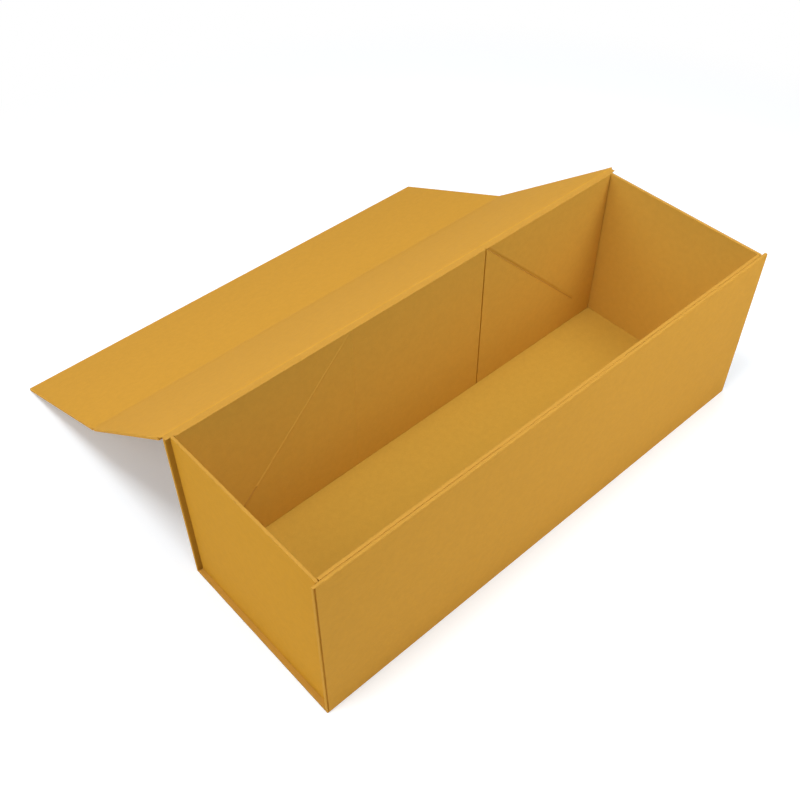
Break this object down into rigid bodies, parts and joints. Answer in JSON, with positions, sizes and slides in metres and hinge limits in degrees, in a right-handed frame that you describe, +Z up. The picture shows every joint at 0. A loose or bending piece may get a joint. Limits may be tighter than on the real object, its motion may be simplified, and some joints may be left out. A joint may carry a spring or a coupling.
{
  "type": "bottle shipping box",
  "caption": "Fold-flat rigid bottle box of paper-covered board, with a hinged lid and magnetic closing flap laid open behind it.",
  "frame": {"origin": "middle of the box's footprint, on the underside of its base; the lid and flap lie outside that footprint", "axes": "+Z up, +X along the box to the right, +Y from the front wall to the back wall, where the lid is hinged"},
  "size_m": [0.353, 0.3205, 0.1194],
  "materials": {
    "covered_board": "matte ochre cover paper over greyboard",
    "tray_board": "matte ochre lining paper over greyboard",
    "magnet": "nickel plated"
  },
  "bodies": {
    "box": {"base_panel": "covered_board", "back_panel": "covered_board", "front_panel": "covered_board", "tray_floor": "tray_board", "left_end_wall": "tray_board", "right_end_wall": "tray_board", "inner_back_wall": "tray_board", "inner_front_wall": "tray_board", "front_magnet_left": "magnet", "front_magnet_right": "magnet"},
    "lid": {"lid_panel": "covered_board"},
    "flap": {"flap_panel": "covered_board", "flap_magnet_left": "magnet", "flap_magnet_right": "magnet"}
  },
  "joints": [
    {"name": "lid_hinge", "type": "hinge", "parent": "box", "child": "lid", "pos_m": [0, 0.0605, 0.1195], "axis": [1, 0, 0], "range_deg": [0, 217.3]},
    {"name": "flap_hinge", "type": "hinge", "parent": "lid", "child": "flap", "pos_m": [0, 0.15715, 0.04587], "axis": [1, 0, 0], "range_deg": [0, 75.95]}
  ]
}
